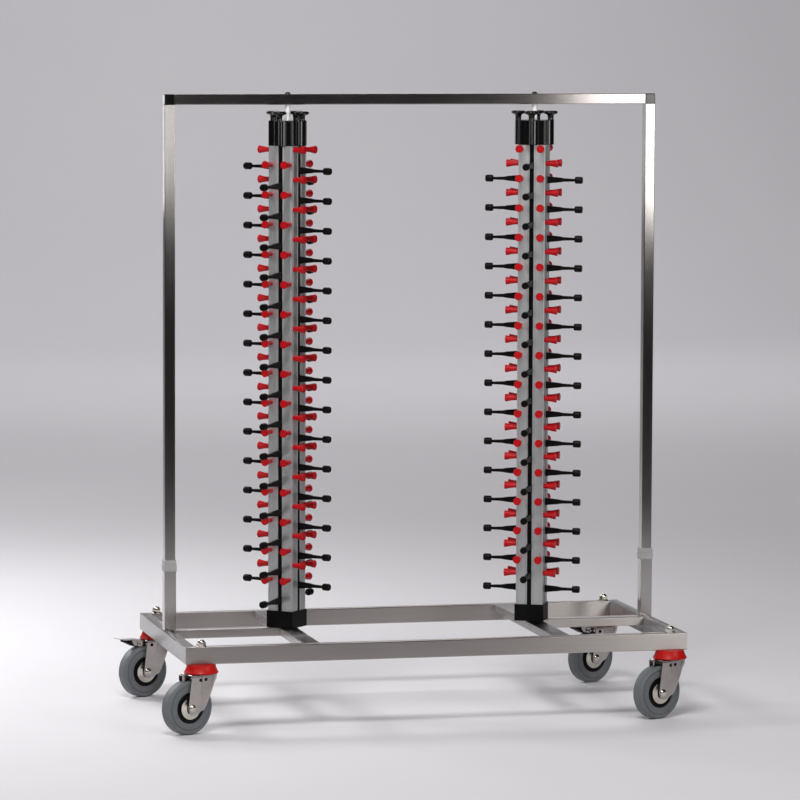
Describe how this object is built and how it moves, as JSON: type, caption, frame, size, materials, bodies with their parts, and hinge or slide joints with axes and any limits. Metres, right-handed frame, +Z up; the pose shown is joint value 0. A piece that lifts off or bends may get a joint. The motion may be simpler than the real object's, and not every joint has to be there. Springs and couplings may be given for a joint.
{
  "type": "plate dispenser cart",
  "caption": "Tall mobile plate rack: a wheeled tube base with a portal frame and turning columns whose arms and bumpers grip plates by their rims.",
  "frame": {"origin": "on the floor, under the middle of the whole cart's footprint with the castors as they trail", "axes": "+X along the base to the viewer's right, +Y away from the viewer, +Z up"},
  "size_m": [1.2764, 0.6686, 1.465],
  "materials": {
    "satin_steel": "satin ground stainless tube",
    "bright_steel": "polished",
    "anodised": "satin anodised",
    "black_gloss": "glossy moulded",
    "black_matte": "fine matt",
    "red_rubber": "soft satin",
    "red_plastic": "satin moulded",
    "grey_tyre": "matt grey rubber",
    "pale_plastic": "satin",
    "white_nylon": "satin"
  },
  "bodies": {
    "frame": {"front_rail": "satin_steel", "rear_rail": "satin_steel", "left_end_rail": "satin_steel", "right_end_rail": "satin_steel", "cross_rails": "satin_steel", "mid_rails": "satin_steel", "lower_posts": "satin_steel", "upper_posts": "satin_steel", "crossbar": "satin_steel", "post_sleeves": "pale_plastic", "corner_connectors": "black_gloss", "pivot_bolts": "black_gloss", "pivot_spacers": "white_nylon", "pivot_screws": "bright_steel", "castor_stems": "bright_steel", "castor_washers": "bright_steel", "castor_nuts": "bright_steel", "castor_seals": "red_plastic"},
    "castor_fl": {"castor_fl_fork": "bright_steel", "castor_fl_axle": "bright_steel"},
    "wheel_fl": {"castor_fl_tyre": "grey_tyre", "castor_fl_rim": "black_matte"},
    "castor_fr": {"castor_fr_fork": "bright_steel", "castor_fr_axle": "bright_steel"},
    "wheel_fr": {"castor_fr_tyre": "grey_tyre", "castor_fr_rim": "black_matte"},
    "castor_bl": {"castor_bl_fork": "bright_steel", "castor_bl_axle": "bright_steel"},
    "wheel_bl": {"castor_bl_tyre": "grey_tyre", "castor_bl_rim": "black_matte"},
    "brake_bl": {"castor_bl_pedal": "bright_steel"},
    "castor_br": {"castor_br_fork": "bright_steel", "castor_br_axle": "bright_steel"},
    "wheel_br": {"castor_br_tyre": "grey_tyre", "castor_br_rim": "black_matte"},
    "brake_br": {"castor_br_pedal": "bright_steel"},
    "left_column": {"left_column_profiles": "anodised", "left_column_socket": "black_matte", "left_column_cap": "black_gloss", "left_column_bumpers": "red_rubber"},
    "left_carrier_0": {"left_column_arms_0": "black_matte"},
    "left_knob_0": {"left_column_knob_0": "black_gloss"},
    "left_carrier_1": {"left_column_arms_1": "black_matte"},
    "left_knob_1": {"left_column_knob_1": "black_gloss"},
    "left_carrier_2": {"left_column_arms_2": "black_matte"},
    "left_knob_2": {"left_column_knob_2": "black_gloss"},
    "left_carrier_3": {"left_column_arms_3": "black_matte"},
    "left_knob_3": {"left_column_knob_3": "black_gloss"},
    "right_column": {"right_column_profiles": "anodised", "right_column_socket": "black_matte", "right_column_cap": "black_gloss", "right_column_bumpers": "red_rubber"},
    "right_carrier_0": {"right_column_arms_0": "black_matte"},
    "right_knob_0": {"right_column_knob_0": "black_gloss"},
    "right_carrier_1": {"right_column_arms_1": "black_matte"},
    "right_knob_1": {"right_column_knob_1": "black_gloss"},
    "right_carrier_2": {"right_column_arms_2": "black_matte"},
    "right_knob_2": {"right_column_knob_2": "black_gloss"},
    "right_carrier_3": {"right_column_arms_3": "black_matte"},
    "right_knob_3": {"right_column_knob_3": "black_gloss"}
  },
  "joints": [
    {"name": "castor_fl_swivel", "type": "hinge", "parent": "frame", "child": "castor_fl", "pos_m": [-0.5248, -0.28073, 0.14], "axis": [0, 0, 1], "continuous": true},
    {"name": "wheel_fl_spin", "type": "hinge", "parent": "castor_fl", "child": "wheel_fl", "pos_m": [-0.56148, -0.29667, 0.0625], "axis": [0.3987, -0.9171, 0], "continuous": true},
    {"name": "castor_fr_swivel", "type": "hinge", "parent": "frame", "child": "castor_fr", "pos_m": [0.5982, -0.28073, 0.14], "axis": [0, 0, 1], "continuous": true},
    {"name": "wheel_fr_spin", "type": "hinge", "parent": "castor_fr", "child": "wheel_fr", "pos_m": [0.56152, -0.29667, 0.0625], "axis": [0.3987, -0.9171, 0], "continuous": true},
    {"name": "castor_bl_swivel", "type": "hinge", "parent": "frame", "child": "castor_bl", "pos_m": [-0.5248, 0.29428, 0.14], "axis": [0, 0, 1], "continuous": true},
    {"name": "wheel_bl_spin", "type": "hinge", "parent": "castor_bl", "child": "wheel_bl", "pos_m": [-0.56148, 0.27833, 0.0625], "axis": [0.3987, -0.9171, 0], "continuous": true},
    {"name": "brake_bl_pedal", "type": "hinge", "parent": "castor_bl", "child": "brake_bl", "pos_m": [-0.57707, 0.27155, 0.131], "axis": [0.3987, -0.9171, 0], "range_deg": [0, 18]},
    {"name": "castor_br_swivel", "type": "hinge", "parent": "frame", "child": "castor_br", "pos_m": [0.5982, 0.29428, 0.14], "axis": [0, 0, 1], "continuous": true},
    {"name": "wheel_br_spin", "type": "hinge", "parent": "castor_br", "child": "wheel_br", "pos_m": [0.56152, 0.27833, 0.0625], "axis": [0.3987, -0.9171, 0], "continuous": true},
    {"name": "brake_br_pedal", "type": "hinge", "parent": "castor_br", "child": "brake_br", "pos_m": [0.54593, 0.27155, 0.131], "axis": [0.3987, -0.9171, 0], "range_deg": [0, 18]},
    {"name": "left_column_turn", "type": "hinge", "parent": "frame", "child": "left_column", "pos_m": [-0.2633, 0.00677, 0.2], "axis": [0, 0, 1], "continuous": true},
    {"name": "left_carrier_0_slide", "type": "slide", "parent": "left_column", "child": "left_carrier_0", "axis": [0, 0, 1], "range_m": [-0.004, 0.016]},
    {"name": "left_knob_0_turn", "type": "hinge", "parent": "left_column", "child": "left_knob_0", "pos_m": [-0.2895, -0.02212, 1.4], "axis": [0, 0, 1], "range_deg": [-1443, 363]},
    {"name": "left_carrier_1_slide", "type": "slide", "parent": "left_column", "child": "left_carrier_1", "axis": [0, 0, 1], "range_m": [-0.0055, 0.0145]},
    {"name": "left_knob_1_turn", "type": "hinge", "parent": "left_column", "child": "left_knob_1", "pos_m": [-0.23441, -0.01942, 1.4], "axis": [0, 0, 1], "range_deg": [-1308, 498]},
    {"name": "left_carrier_2_slide", "type": "slide", "parent": "left_column", "child": "left_carrier_2", "axis": [0, 0, 1], "range_m": [-0.01, 0.01]},
    {"name": "left_knob_2_turn", "type": "hinge", "parent": "left_column", "child": "left_knob_2", "pos_m": [-0.2371, 0.03567, 1.4], "axis": [0, 0, 1], "range_deg": [-903, 903]},
    {"name": "left_carrier_3_slide", "type": "slide", "parent": "left_column", "child": "left_carrier_3", "axis": [0, 0, 1], "range_m": [-0.014, 0.006]},
    {"name": "left_knob_3_turn", "type": "hinge", "parent": "left_column", "child": "left_knob_3", "pos_m": [-0.29219, 0.03297, 1.4], "axis": [0, 0, 1], "range_deg": [-543, 1263]},
    {"name": "right_column_turn", "type": "hinge", "parent": "frame", "child": "right_column", "pos_m": [0.3367, 0.00677, 0.2], "axis": [0, 0, 1], "continuous": true},
    {"name": "right_carrier_0_slide", "type": "slide", "parent": "right_column", "child": "right_carrier_0", "axis": [0, 0, 1], "range_m": [-0.014, 0.006]},
    {"name": "right_knob_0_turn", "type": "hinge", "parent": "right_column", "child": "right_knob_0", "pos_m": [0.32022, -0.02857, 1.4], "axis": [0, 0, 1], "range_deg": [-543, 1263]},
    {"name": "right_carrier_1_slide", "type": "slide", "parent": "right_column", "child": "right_carrier_1", "axis": [0, 0, 1], "range_m": [-0.015, 0.005]},
    {"name": "right_knob_1_turn", "type": "hinge", "parent": "right_column", "child": "right_knob_1", "pos_m": [0.37204, -0.00971, 1.4], "axis": [0, 0, 1], "range_deg": [-453, 1353]},
    {"name": "right_carrier_2_slide", "type": "slide", "parent": "right_column", "child": "right_carrier_2", "axis": [0, 0, 1], "range_m": [-0.015, 0.005]},
    {"name": "right_knob_2_turn", "type": "hinge", "parent": "right_column", "child": "right_knob_2", "pos_m": [0.35318, 0.04212, 1.4], "axis": [0, 0, 1], "range_deg": [-453, 1353]},
    {"name": "right_carrier_3_slide", "type": "slide", "parent": "right_column", "child": "right_carrier_3", "axis": [0, 0, 1], "range_m": [-0.0175, 0.0025]},
    {"name": "right_knob_3_turn", "type": "hinge", "parent": "right_column", "child": "right_knob_3", "pos_m": [0.30135, 0.02326, 1.4], "axis": [0, 0, 1], "range_deg": [-228, 1578]}
  ],
  "couplings": [
    {"joint": "left_knob_0_turn", "follows": "left_carrier_0_slide", "rad_per_m": -1570.8},
    {"joint": "left_knob_1_turn", "follows": "left_carrier_1_slide", "rad_per_m": -1570.8},
    {"joint": "left_knob_2_turn", "follows": "left_carrier_2_slide", "rad_per_m": -1570.8},
    {"joint": "left_knob_3_turn", "follows": "left_carrier_3_slide", "rad_per_m": -1570.8},
    {"joint": "right_knob_0_turn", "follows": "right_carrier_0_slide", "rad_per_m": -1570.8},
    {"joint": "right_knob_1_turn", "follows": "right_carrier_1_slide", "rad_per_m": -1570.8},
    {"joint": "right_knob_2_turn", "follows": "right_carrier_2_slide", "rad_per_m": -1570.8},
    {"joint": "right_knob_3_turn", "follows": "right_carrier_3_slide", "rad_per_m": -1570.8}
  ]
}
